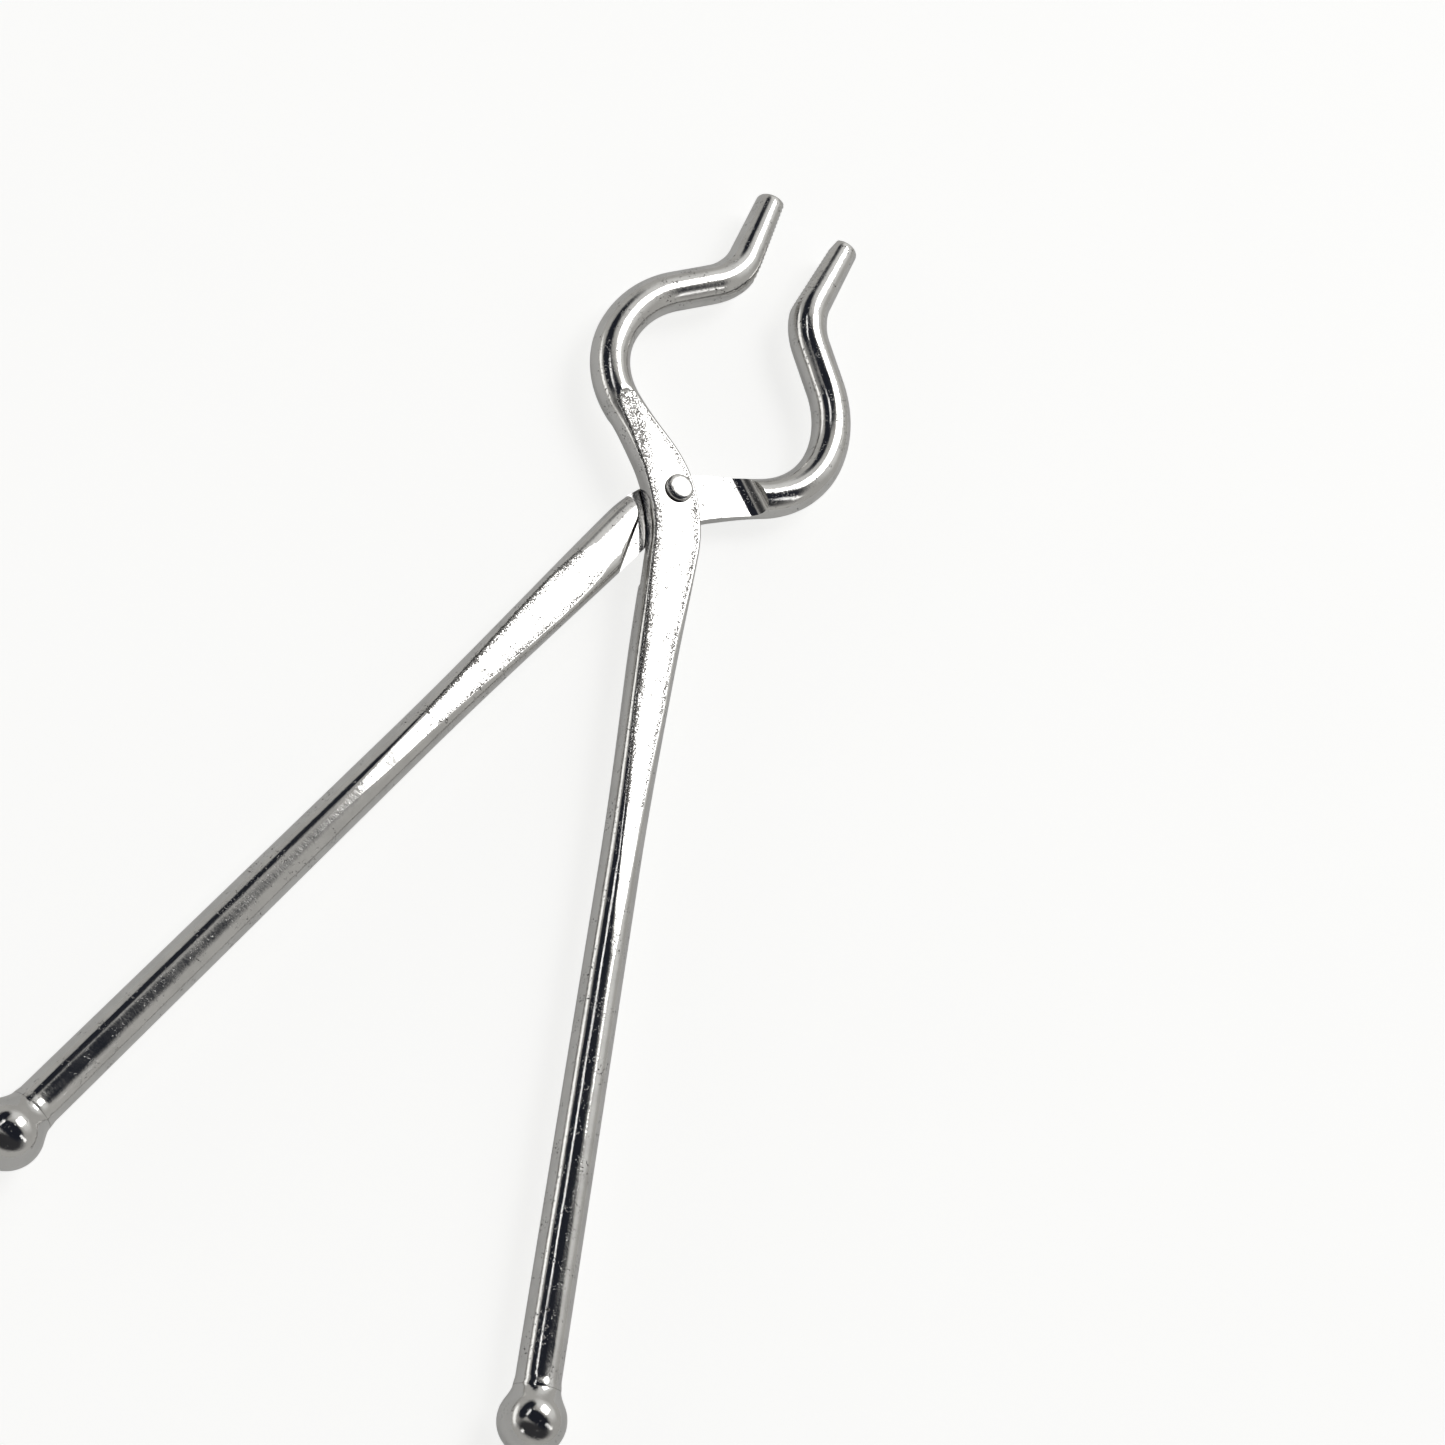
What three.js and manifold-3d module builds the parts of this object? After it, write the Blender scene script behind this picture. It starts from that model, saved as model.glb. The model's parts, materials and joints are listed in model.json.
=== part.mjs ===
// Crucible tongs, 8 inch pattern: two bent steel arms that cross at a rivet, with a ball on each handle.
// Millimetres, +Z up with the tongs lying flat, +Y toward the jaws, +X to the right seen from above.
// The origin is under the middle of the tongs, at the height of the bench that they lie on.

import * as THREE from 'three';
import { mergeVertices } from 'three/addons/utils/BufferGeometryUtils.js';
import Module from 'manifold-3d';

const wasm = await Module();
wasm.setup();

const DEGREE = Math.PI / 180;

// ---- Driving dimensions ----
const rodDiameter = 6.35;
const fitGap = 0.3;

// One arm is one bent rod. These are its straight lengths, bends and angles from the ball to the tip.
const handleReach = 138;
const handleSpread = 40.6;
const handleAngle = 15.94 * DEGREE;
const handleLength = 133.75;
const crossingRadius = 24;
const rootAngle = 56 * DEGREE;
const rootLength = 9.1;
const bowRadius = 14;
const cheekAngle = 43.7 * DEGREE;
const cheekRadius = 18;
const cheekLength = 7.1;
const noseRadius = 11;
const tipFlare = 2.8 * DEGREE;
const tipLength = 12.1;
const tipEndDiameter = 4.9;

// Forging: how far the arm spreads, rises and squares up where it crosses the other one.
const spread = 0.28;
const spreadReachJaw = 17;
const spreadReachHandle = 60;
const rise = 1.4;
const riseReachJaw = 34;
const riseReachHandle = 30;
const roundPower = 2;
const squarePower = 3.5;

// The handle rod has a slight waist beside the forging and swells toward its ball.
const handleWaist = 0.975;
const handleSwell = 1.02;

// Flats, as heights above the middle plane of the tongs and distances from the rivet.
const outerFlat = 3.3;
const outerFlatEnd = -8;
const flatRunOut = 17;
const flatRunOutRadius = 9;
const handleFlatStart = -34;
const handleFlatEnd = -80;
const handleFlatTop = 2.6;
const handleFlatBottom = -2.45;

// Halved joint: its floor runs lapLength up the jaw side and ends in the skewed run-out of a round cutter.
const lapLength = 11.2;
const lapClearance = 0.6;
const runOutRadius = 3.2;
const runOutWidth = 16;
const runOutSkew = 20 * DEGREE;

// The handle's end beside the halved joint is rounded seen from above, and slopes down to the joint.
const shoulderCorner = 4;
const shoulderRounding = 2;

// How far the arms close from the posed opening, and how far the joint is cut back past the root to open.
const closingAngle = 10 * DEGREE;
const rootCutBack = 30 * DEGREE;

// Gripping faces: ground flat and cut with fine cross teeth.
const gripStart = 41;
const gripBackOff = 6;
const toothPitch = 0.85;
const toothDepth = 0.35;
const toothCount = 22;

// Ball, with the neck and bore that take the spigot of the handle.
const ballDiameter = 9.8;
const ballNeckAngle = 30 * DEGREE;
const neckRadius = 3.4;
const neckPlane = 4.4;
const neckFlare = 1.5;
const neckGap = fitGap / 2;
const spigotRadius = 1.7;
const spigotDepth = 4;

// Rivet.
const shankRadius = 1.55;
const headRadius = 2.25;
const headHeight = 0.7;
const headSeat = 0.15;

// How finely curves are cut into facets.
const shoulderSegments = 5;
const runOutSegments = 48;
const roundSegments = 32;
const ballSegments = 40;
const ballCurvePoints = 9;
const headCurvePoints = 3;

// ---- Worked out from the driving dimensions ----
const rodRadius = rodDiameter / 2;
const ballRadius = ballDiameter / 2;
const crossingTurn = rootAngle - handleAngle;
const crossingLength = crossingRadius * crossingTurn;
const noseTurn = cheekAngle + tipFlare;
const lapFloor = fitGap / 2;
const widestHalf = rodRadius * (1 + spread);
const jawHalfAngle = closingAngle / 2;
// How far the line of a handle passes beside the rivet.
const handleOffset = handleSpread * Math.cos(handleAngle) - handleReach * Math.sin(handleAngle);

// ---- Materials ----
const steelColour = 0xc9c8c4;
const armSteel = () => new THREE.MeshStandardMaterial({ color: steelColour, roughness: 0.16, metalness: 1 });
const ballSteel = () => new THREE.MeshStandardMaterial({ color: steelColour, roughness: 0.1, metalness: 1 });
const rivetSteel = () => new THREE.MeshStandardMaterial({ color: 0xbdbbb5, roughness: 0.24, metalness: 1 });

// ---- Solids ----
const mergeTolerance = 1e-5;

function solid(geometry) {
  const bare = geometry.clone();
  bare.deleteAttribute('normal');
  bare.deleteAttribute('uv');
  const merged = mergeVertices(bare, mergeTolerance);
  return new wasm.Manifold(new wasm.Mesh({
    numProp: 3,
    vertProperties: new Float32Array(merged.attributes.position.array),
    triVerts: new Uint32Array(merged.index.array),
  }));
}

function geometryOf(body) {
  const mesh = body.getMesh();
  const geometry = new THREE.BufferGeometry();
  geometry.setAttribute('position', new THREE.BufferAttribute(mesh.vertProperties, 3));
  geometry.setIndex(new THREE.BufferAttribute(mesh.triVerts, 1));
  geometry.computeVertexNormals();
  return geometry;
}

function named(name, geometry, material) {
  const mesh = new THREE.Mesh(geometry, material);
  mesh.name = name;
  return mesh;
}

// ---- Centre-line of an arm ----
// Walks the straight lengths and bends of the arm whose jaw is on the left, one station per step. Along is
// the distance from the crossing, positive toward the jaw. Heading is the angle to the left of +Y.
function armStations() {
  const lengths = [
    { length: handleLength - spreadReachHandle, turn: 0, steps: 3 },
    { length: spreadReachHandle, turn: 0, steps: 20 },
    { length: crossingLength, turn: crossingTurn, steps: 7 },
    { length: rootLength, turn: 0, steps: 9 },
    { length: bowRadius * rootAngle, turn: -rootAngle, steps: 9 },
    { length: cheekRadius * cheekAngle, turn: -cheekAngle, steps: 7 },
    { length: cheekLength, turn: 0, steps: 2 },
    { length: noseRadius * noseTurn, turn: noseTurn, steps: 7 },
    { length: tipLength, turn: 0, steps: 3 },
  ];
  let x = handleSpread;
  let y = -handleReach;
  let heading = handleAngle;
  let along = -(handleLength + crossingLength / 2);
  const stations = [{ x, y, heading, along }];
  for (const { length, turn, steps } of lengths) {
    const swing = turn / steps;
    const stride = length / steps;
    const chord = turn === 0 ? stride : 2 * (length / turn) * Math.sin(swing / 2);
    for (let step = 0; step < steps; step += 1) {
      x -= chord * Math.sin(heading + swing / 2);
      y += chord * Math.cos(heading + swing / 2);
      heading += swing;
      along += stride;
      stations.push({ x, y, heading, along });
    }
  }
  return stations;
}

// ---- Section of an arm ----
// A hump that is 1 at the crossing and falls smoothly to 0 at each reach.
function hump(along, reachJaw, reachHandle) {
  const reach = along > 0 ? reachJaw : reachHandle;
  const part = Math.min(Math.abs(along) / reach, 1);
  return Math.cos(part * Math.PI / 2) ** 2;
}

// A straight ramp between two values, level outside it.
function ramp(value, start, end, from, to) {
  const part = THREE.MathUtils.clamp((value - start) / (end - start), 0, 1);
  return from + (to - from) * part;
}

// The rod's own radius at a distance from the crossing, before it is spread.
function radiusAt(along, tipEnd) {
  const taperStart = tipEnd - tipLength - noseRadius * noseTurn / 2;
  if (along > 0) {
    return ramp(along, taperStart, tipEnd, rodRadius, tipEndDiameter / 2);
  }
  const drawn = ramp(along, -spreadReachHandle, -handleLength, handleWaist, handleSwell);
  return rodRadius * (along < -spreadReachHandle ? drawn : ramp(along, 0, -spreadReachHandle, 1, handleWaist));
}

// The heights of the outer and inner flats. The outer one runs out in an arc toward the jaw. Both step in past
// the crossing, then run out along the handle.
function flatsAt(along) {
  if (along > outerFlatEnd) {
    const past = THREE.MathUtils.clamp(along - flatRunOut, 0, flatRunOutRadius);
    const lift = flatRunOutRadius - Math.sqrt(flatRunOutRadius ** 2 - past ** 2);
    return { top: outerFlat + lift, bottom: -Infinity };
  }
  if (along > handleFlatStart) {
    const top = ramp(along, outerFlatEnd, handleFlatStart, outerFlat, handleFlatTop);
    return { top, bottom: handleFlatBottom };
  }
  return {
    top: ramp(along, handleFlatStart, handleFlatEnd, handleFlatTop, rodRadius),
    bottom: ramp(along, handleFlatStart, handleFlatEnd, handleFlatBottom, -rodRadius),
  };
}

function sectionAt(along, tipEnd) {
  const radius = radiusAt(along, tipEnd);
  const forging = hump(along, spreadReachJaw, spreadReachHandle);
  const centre = rise * hump(along, riseReachJaw, riseReachHandle);
  const { top, bottom } = flatsAt(along);
  return {
    halfWidth: radius * (1 + spread * forging),
    halfHeight: radius,
    power: roundPower + (squarePower - roundPower) * forging,
    centre,
    top: top - centre,
    bottom: bottom - centre,
  };
}

function roundSection(radius) {
  return {
    halfWidth: radius, halfHeight: radius, power: roundPower, centre: 0, top: Infinity, bottom: -Infinity,
  };
}

// The outline of a section has flankSteps points up each rounded flank and flatSteps across each flat.
const flankSteps = 10;
const flatSteps = 6;
const ringSize = 2 * (flankSteps + flatSteps);
const narrowestFlat = 65 * DEGREE;

// The angle round the section at which a flat of this height meets the flank.
function flatEdge(height, section) {
  const ratio = Math.min(height / section.halfHeight, 1);
  return Math.min(Math.asin(ratio ** (section.power / 2)), narrowestFlat);
}

function outlinePoint(index, section) {
  const top = flatEdge(section.top, section);
  const bottom = flatEdge(-section.bottom, section);
  const sides = [
    { first: 0, steps: flankSteps, from: -bottom, to: top },
    { first: flankSteps, steps: flatSteps, from: top, to: Math.PI - top },
    { first: flankSteps + flatSteps, steps: flankSteps, from: Math.PI - top, to: Math.PI + bottom },
    { first: ringSize - flatSteps, steps: flatSteps, from: Math.PI + bottom, to: 2 * Math.PI - bottom },
  ];
  const { first, steps, from, to } = sides.findLast((side) => index >= side.first);
  const angle = from + (to - from) * (index - first) / steps;
  const squared = (value) => Math.sign(value) * Math.abs(value) ** (2 / section.power);
  return {
    across: section.halfWidth * squared(Math.cos(angle)),
    height: THREE.MathUtils.clamp(section.halfHeight * squared(Math.sin(angle)), section.bottom, section.top),
  };
}

// ---- Arm ----
// The turned end of the handle: a spigot that goes into the ball, and the flared shoulder at its neck.
function spigotRings({ x, y, heading }) {
  const shoulder = neckPlane + neckGap;
  const profile = [
    [neckPlane - spigotDepth, spigotRadius],
    [shoulder, spigotRadius],
    [shoulder, neckRadius],
    [neckPlane + neckFlare, rodRadius * handleSwell],
  ];
  return profile.map(([distance, radius]) => ({
    x: x - distance * Math.sin(heading),
    y: y + distance * Math.cos(heading),
    heading,
    section: roundSection(radius),
  }));
}

// The bar is extruded straight, one unit per ring, and each ring is then bent into place and forged.
function bentRod() {
  const stations = armStations();
  const tipEnd = stations.at(-1).along;
  const rod = stations.slice(1).map((station) => ({ ...station, section: sectionAt(station.along, tipEnd) }));
  const rings = [...spigotRings(stations[0]), ...rod];
  const circle = new THREE.Path().absarc(0, 0, 1, 0, 2 * Math.PI).getPoints(ringSize / 2).slice(0, ringSize);
  const steps = rings.length - 1;
  const bar = new THREE.ExtrudeGeometry(new THREE.Shape(circle), { depth: steps, steps, bevelEnabled: false });
  const points = bar.attributes.position;
  for (let i = 0; i < points.count; i += 1) {
    const turn = Math.atan2(points.getY(i), points.getX(i)) / (2 * Math.PI);
    const index = (Math.round(turn * ringSize) + ringSize) % ringSize;
    const { x, y, heading, section } = rings[Math.round(points.getZ(i))];
    const { across, height } = outlinePoint(index, section);
    const right = -across;
    points.setXYZ(i, x + right * Math.cos(heading), y + right * Math.sin(heading), section.centre + height);
  }
  return solid(bar);
}

// ---- Cutters ----
const cutterSize = 100;
const cutterDepth = 50;

// The part of the handle that the halved joint leaves, seen from above and drawn in by inset. One edge clears
// the other arm's handle when the tongs are closed, and one its root when they are wide open.
function shoulderShape(inset) {
  const edges = [
    { way: closingAngle - handleAngle, reach: widestHalf + lapClearance - handleOffset },
    { way: -rootAngle - rootCutBack, reach: widestHalf + lapClearance },
  ];
  const [first, second] = edges.map(({ way, reach }) => ({
    x: Math.cos(way), y: Math.sin(way), reach: reach + shoulderCorner,
  }));
  const spreadOfEdges = first.x * second.y - second.x * first.y;
  const middleX = (first.reach * second.y - second.reach * first.y) / spreadOfEdges;
  const middleY = (first.x * second.reach - second.x * first.reach) / spreadOfEdges;
  const shape = new THREE.Shape();
  shape.absarc(middleX, middleY, shoulderCorner - inset, edges[0].way + Math.PI, edges[1].way + Math.PI, true);
  shape.lineTo(middleX - second.y * cutterSize - second.x * (shoulderCorner - inset),
    middleY + second.x * cutterSize - second.y * (shoulderCorner - inset));
  shape.lineTo(middleX + (first.y - second.y) * cutterSize, middleY + (second.x - first.x) * cutterSize);
  shape.lineTo(middleX + first.y * cutterSize - first.x * (shoulderCorner - inset),
    middleY - first.x * cutterSize - first.y * (shoulderCorner - inset));
  return shape;
}

// Upright below the inner flat, and bevelled in an arc from there up to the floor of the joint.
function shoulder() {
  const slope = new THREE.ExtrudeGeometry(shoulderShape(0), {
    depth: cutterDepth,
    curveSegments: shoulderSegments,
    bevelThickness: lapFloor - handleFlatBottom,
    bevelSize: shoulderRounding,
    bevelOffset: -shoulderRounding,
    bevelSegments: shoulderSegments,
  });
  slope.translate(0, 0, lapFloor);
  const below = new THREE.ExtrudeGeometry(shoulderShape(shoulderRounding), {
    depth: 2 * cutterDepth,
    curveSegments: shoulderSegments,
    bevelEnabled: false,
  });
  below.translate(0, 0, -2 * cutterDepth);
  return solid(slope).add(solid(below));
}

// The pocket of the halved joint, with a round cutter's run-out at its jaw end.
function lapCutter() {
  const across = rootAngle + Math.PI / 2 - runOutSkew;
  const pocket = new THREE.BoxGeometry(cutterSize, 2 * cutterSize, cutterDepth);
  pocket.translate(lapLength - cutterSize / 2, 0, lapFloor - cutterDepth / 2);
  pocket.rotateZ(across);
  const runOut = new THREE.CylinderGeometry(runOutRadius, runOutRadius, runOutWidth, runOutSegments);
  runOut.translate(lapLength, 0, lapFloor - runOutRadius);
  runOut.rotateZ(across);
  return solid(pocket).subtract(shoulder()).add(solid(runOut));
}

// The ground face of the jaw. It lies on a line through the rivet, so both faces meet flat when closed.
function gripCutter() {
  const outline = new THREE.Shape();
  outline.moveTo(-lapFloor, gripStart);
  outline.lineTo(gripBackOff, gripStart);
  outline.lineTo(gripBackOff, gripStart + toothCount * toothPitch);
  for (let tooth = toothCount; tooth > 0; tooth -= 1) {
    outline.lineTo(-lapFloor, gripStart + tooth * toothPitch);
    outline.lineTo(-lapFloor - toothDepth, gripStart + (tooth - 0.5) * toothPitch);
  }
  const teeth = new THREE.ExtrudeGeometry(outline, { depth: 2 * rodDiameter, bevelEnabled: false });
  teeth.translate(0, 0, -rodDiameter);
  teeth.rotateZ(jawHalfAngle);
  return solid(teeth);
}

function rivetHole() {
  const radius = shankRadius + fitGap;
  const hole = new THREE.CylinderGeometry(radius, radius, 2 * cutterDepth, roundSegments);
  hole.rotateX(Math.PI / 2);
  return solid(hole);
}

function armGeometry() {
  return geometryOf(bentRod().subtract(lapCutter()).subtract(gripCutter()).subtract(rivetHole()));
}

// ---- Ball and rivet ----
// Bored for the spigot, with a short neck that meets the handle's shoulder.
function ballGeometry() {
  const bore = spigotRadius + fitGap;
  const boreEnd = neckPlane - spigotDepth - fitGap;
  const profile = new THREE.Path();
  const filletStart = ballRadius * Math.sin(ballNeckAngle);
  const filletRise = (ballRadius * Math.cos(ballNeckAngle) - neckRadius) / Math.tan(ballNeckAngle);
  profile.absarc(0, 0, ballRadius, -Math.PI / 2, ballNeckAngle);
  profile.quadraticCurveTo(neckRadius, filletStart + filletRise, neckRadius, neckPlane);
  profile.lineTo(bore, neckPlane);
  profile.lineTo(bore, boreEnd);
  profile.lineTo(0, boreEnd);
  return new THREE.LatheGeometry(profile.getPoints(ballCurvePoints), ballSegments);
}

// Two low domed heads on one shank, with the lathe's axis standing up through both arms.
function rivetGeometry() {
  const seat = outerFlat + headSeat;
  const domeRadius = (headRadius ** 2 + headHeight ** 2) / (2 * headHeight);
  const domeAngle = Math.asin(headRadius / domeRadius);
  const domeCentre = seat + headHeight - domeRadius;
  const profile = new THREE.Path();
  profile.absarc(0, -domeCentre, domeRadius, -Math.PI / 2, domeAngle - Math.PI / 2);
  profile.lineTo(shankRadius, -seat);
  profile.lineTo(shankRadius, seat);
  profile.lineTo(headRadius, seat);
  profile.absarc(0, domeCentre, domeRadius, Math.PI / 2 - domeAngle, Math.PI / 2);
  return new THREE.LatheGeometry(profile.getPoints(headCurvePoints), roundSegments);
}

// ---- Assembly ----
// Adds an arm and its ball. Both arms are alike: the rear one is the front one turned over about +Y.
function armGroup(side, turnedOver, arm, ball) {
  const group = new THREE.Group();
  const armMesh = named(`${side}_arm`, arm, armSteel());
  const ballMesh = named(`${side}_ball`, ball, ballSteel());
  ballMesh.position.set(handleSpread, -handleReach, 0);
  ballMesh.rotation.z = handleAngle;
  group.add(armMesh, ballMesh);
  group.rotation.y = turnedOver ? Math.PI : 0;
  return group;
}

const arm = armGeometry();
const ball = ballGeometry();
const rivet = named('pivot_rivet', rivetGeometry(), rivetSteel());
rivet.rotation.x = Math.PI / 2;

const tongs = new THREE.Group();
tongs.add(armGroup('front', false, arm, ball), armGroup('rear', true, arm, ball), rivet);

// Lays the tongs down on their balls, with the middle of their length over the origin.
const extent = new THREE.Box3().setFromObject(tongs, true);
tongs.position.set(0, -(extent.min.y + extent.max.y) / 2, -extent.min.z);

export default tongs;
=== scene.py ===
import json
import math

import bpy
from mathutils import Matrix, Vector


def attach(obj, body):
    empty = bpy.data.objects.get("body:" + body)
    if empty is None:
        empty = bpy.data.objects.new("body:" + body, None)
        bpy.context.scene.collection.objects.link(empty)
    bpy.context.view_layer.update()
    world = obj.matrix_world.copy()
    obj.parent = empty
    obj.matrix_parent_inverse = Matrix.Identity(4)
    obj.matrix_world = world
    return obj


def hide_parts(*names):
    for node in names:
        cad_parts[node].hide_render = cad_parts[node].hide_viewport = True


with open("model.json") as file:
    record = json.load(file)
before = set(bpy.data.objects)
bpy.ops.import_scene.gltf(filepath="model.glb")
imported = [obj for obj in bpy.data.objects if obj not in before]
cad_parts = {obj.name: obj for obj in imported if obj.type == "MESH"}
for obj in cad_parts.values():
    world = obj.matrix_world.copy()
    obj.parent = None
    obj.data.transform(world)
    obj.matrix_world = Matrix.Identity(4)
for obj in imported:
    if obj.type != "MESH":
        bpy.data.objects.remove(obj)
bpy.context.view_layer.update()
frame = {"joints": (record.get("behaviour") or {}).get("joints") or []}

# Crucible tongs in polished steel. Shapes are worked out in millimetres about the rivet, with the middle
# plane of the tongs at height 0, +Y toward the jaws and +Z toward the front arm. MM turns them into metres.
MM = 0.001
DEGREE = math.pi / 180
PIVOT = Vector(frame["joints"][0]["pos_m"])

# ---- Driving dimensions, as in the CAD model ----
ROD_RADIUS = 6.35 / 2
FIT_GAP = 0.3

# One arm is one bent rod: its straight lengths, bends and angles from the ball to the tip.
HANDLE_REACH = 138
HANDLE_SPREAD = 40.6
HANDLE_ANGLE = 15.94 * DEGREE
HANDLE_LENGTH = 133.75
CROSSING_RADIUS = 24
ROOT_ANGLE = 56 * DEGREE
ROOT_LENGTH = 9.1
BOW_RADIUS = 14
CHEEK_ANGLE = 43.7 * DEGREE
CHEEK_RADIUS = 18
CHEEK_LENGTH = 7.1
NOSE_RADIUS = 11
TIP_FLARE = 2.8 * DEGREE
TIP_LENGTH = 12.1
TIP_END_RADIUS = 4.9 / 2

# Forging: how far the arm spreads, rises and squares up where it crosses the other one, and how the handle
# narrows beside that and swells toward its ball.
SPREAD = 0.28
SPREAD_REACH_JAW = 17
SPREAD_REACH_HANDLE = 60
RISE = 1.4
RISE_REACH_JAW = 34
RISE_REACH_HANDLE = 30
ROUND_POWER = 2
SQUARE_POWER = 3.5
HANDLE_WAIST = 0.975
HANDLE_SWELL = 1.02

# Flats, as heights above the middle plane and distances from the rivet.
OUTER_FLAT = 3.3
OUTER_FLAT_END = -8
FLAT_RUN_OUT = 17
FLAT_RUN_OUT_RADIUS = 9
HANDLE_FLAT_START = -34
HANDLE_FLAT_END = -80
HANDLE_FLAT_TOP = 2.6
HANDLE_FLAT_BOTTOM = -2.45

# Halved joint: its floor, the skewed run-out of a round cutter at its jaw end, and the handle's rounded
# shoulder, which is cut back so that the arms can close and open.
LAP_LENGTH = 11.2
LAP_CLEARANCE = 0.6
RUN_OUT_RADIUS = 3.2
RUN_OUT_WIDTH = 16
RUN_OUT_SKEW = 20 * DEGREE
SHOULDER_CORNER = 4
SHOULDER_ROUNDING = 2
CLOSING_ANGLE = 10 * DEGREE
ROOT_CUT_BACK = 30 * DEGREE

# Gripping faces: ground flat and cut with fine cross teeth.
GRIP_START = 41
GRIP_BACK_OFF = 6
TOOTH_PITCH = 0.85
TOOTH_DEPTH = 0.35
TOOTH_COUNT = 22

# Neck, bore and spigot of the ball.
BALL_NECK_ANGLE = 30 * DEGREE
NECK_RADIUS = 3.4
NECK_PLANE = 4.4
NECK_FLARE = 1.5
SPIGOT_RADIUS = 1.7
SPIGOT_DEPTH = 4

# Rivet.
SHANK_RADIUS = 1.55
HEAD_RADIUS = 2.25
HEAD_HEIGHT = 0.7
HEAD_SEAT = 0.15

# ---- What only the visual model has ----
# The ball is a hair smaller than the CAD model's 9.8 mm, so that it stays within that one's facets.
BALL_RADIUS = 9.76 / 2
EDGE_SOFTENING = 0.35
TIP_ROUNDING = 0.4
NECK_SEAM = 0.04
HEAD_POWER = 4
# The run-out cuts this far below the joint's floor, so that the two surfaces cross instead of touching.
RUN_OUT_BITE = 0.01
# A point this near a flat's height is on the flat, and NO_FLAT is a height past every section.
FLAT_EDGE_DROP = 0.01
NO_FLAT = 99

# ---- How finely curves are cut, and the angle past which an edge stays sharp ----
FLARE_STEPS = 8
# The rod's own rings start this far past the shoulder's flare.
ROD_START_GAP = 0.5
TIP_STEPS = 6
SHOULDER_CORNER_STEPS = 12
SHOULDER_SLOPE_STEPS = 10
RUN_OUT_STEPS = 120
HOLE_STEPS = 64
LATHE_STEPS = 96
BALL_STEPS = 60
NECK_STEPS = 16
HEAD_STEPS = 24
# A lathe's profile starts and ends in a ring of this radius, so that its caps are not empty.
AXIS_RADIUS = 0.02
ARM_SHARP_EDGE = 28 * DEGREE
BALL_SHARP_EDGE = 35 * DEGREE
RIVET_SHARP_EDGE = 50 * DEGREE

# ---- Worked out from the driving dimensions ----
CROSSING_TURN = ROOT_ANGLE - HANDLE_ANGLE
CROSSING_LENGTH = CROSSING_RADIUS * CROSSING_TURN
NOSE_TURN = CHEEK_ANGLE + TIP_FLARE
LAP_FLOOR = FIT_GAP / 2
WIDEST_HALF = ROD_RADIUS * (1 + SPREAD)
HANDLE_OFFSET = HANDLE_SPREAD * math.cos(HANDLE_ANGLE) - HANDLE_REACH * math.sin(HANDLE_ANGLE)


# ---- Centre-line and sections of an arm ----
def arm_stations():
    """Walks the straight lengths and bends of the arm whose jaw is on the left, from its ball to its tip."""
    lengths = (
        (HANDLE_LENGTH - SPREAD_REACH_HANDLE, 0, 30),
        (SPREAD_REACH_HANDLE, 0, 75),
        (CROSSING_LENGTH, CROSSING_TURN, 24),
        (ROOT_LENGTH, 0, 30),
        (BOW_RADIUS * ROOT_ANGLE, -ROOT_ANGLE, 34),
        (CHEEK_RADIUS * CHEEK_ANGLE, -CHEEK_ANGLE, 30),
        (CHEEK_LENGTH, 0, 10),
        (NOSE_RADIUS * NOSE_TURN, NOSE_TURN, 24),
        (TIP_LENGTH - TIP_ROUNDING, 0, 14),
    )
    x, y, heading = HANDLE_SPREAD, -HANDLE_REACH, HANDLE_ANGLE
    along = -(HANDLE_LENGTH + CROSSING_LENGTH / 2)
    stations = [(x, y, heading, along)]
    for length, turn, steps in lengths:
        swing = turn / steps
        stride = length / steps
        chord = stride if turn == 0 else 2 * (length / turn) * math.sin(swing / 2)
        for _ in range(steps):
            x -= chord * math.sin(heading + swing / 2)
            y += chord * math.cos(heading + swing / 2)
            heading += swing
            along += stride
            stations.append((x, y, heading, along))
    return stations


def clamp(value, low, high):
    return max(low, min(high, value))


def ramp(value, start, end, low, high):
    """A straight ramp between two values, level outside it."""
    return low + (high - low) * clamp((value - start) / (end - start), 0, 1)


def hump(along, reach_jaw, reach_handle):
    """1 at the crossing, falling smoothly to 0 at each reach."""
    reach = reach_jaw if along > 0 else reach_handle
    return math.cos(min(abs(along) / reach, 1) * math.pi / 2) ** 2


def radius_at(along, tip_end):
    """The rod's own radius, before it is spread at the crossing."""
    if along > 0:
        taper_start = tip_end - TIP_LENGTH - NOSE_RADIUS * NOSE_TURN / 2
        return ramp(along, taper_start, tip_end, ROD_RADIUS, TIP_END_RADIUS)
    if along < -SPREAD_REACH_HANDLE:
        return ROD_RADIUS * ramp(along, -SPREAD_REACH_HANDLE, -HANDLE_LENGTH, HANDLE_WAIST, HANDLE_SWELL)
    return ROD_RADIUS * ramp(along, 0, -SPREAD_REACH_HANDLE, 1, HANDLE_WAIST)


def flats_at(along):
    """Heights of the outer and inner flats, which step in past the crossing and run out along the handle."""
    if along > OUTER_FLAT_END:
        past = clamp(along - FLAT_RUN_OUT, 0, FLAT_RUN_OUT_RADIUS)
        return OUTER_FLAT + FLAT_RUN_OUT_RADIUS - math.sqrt(FLAT_RUN_OUT_RADIUS**2 - past**2), -NO_FLAT
    if along > HANDLE_FLAT_START:
        return ramp(along, OUTER_FLAT_END, HANDLE_FLAT_START, OUTER_FLAT, HANDLE_FLAT_TOP), HANDLE_FLAT_BOTTOM
    top = ramp(along, HANDLE_FLAT_START, HANDLE_FLAT_END, HANDLE_FLAT_TOP, ROD_RADIUS)
    bottom = ramp(along, HANDLE_FLAT_START, HANDLE_FLAT_END, HANDLE_FLAT_BOTTOM, -ROD_RADIUS)
    return top, bottom


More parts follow.
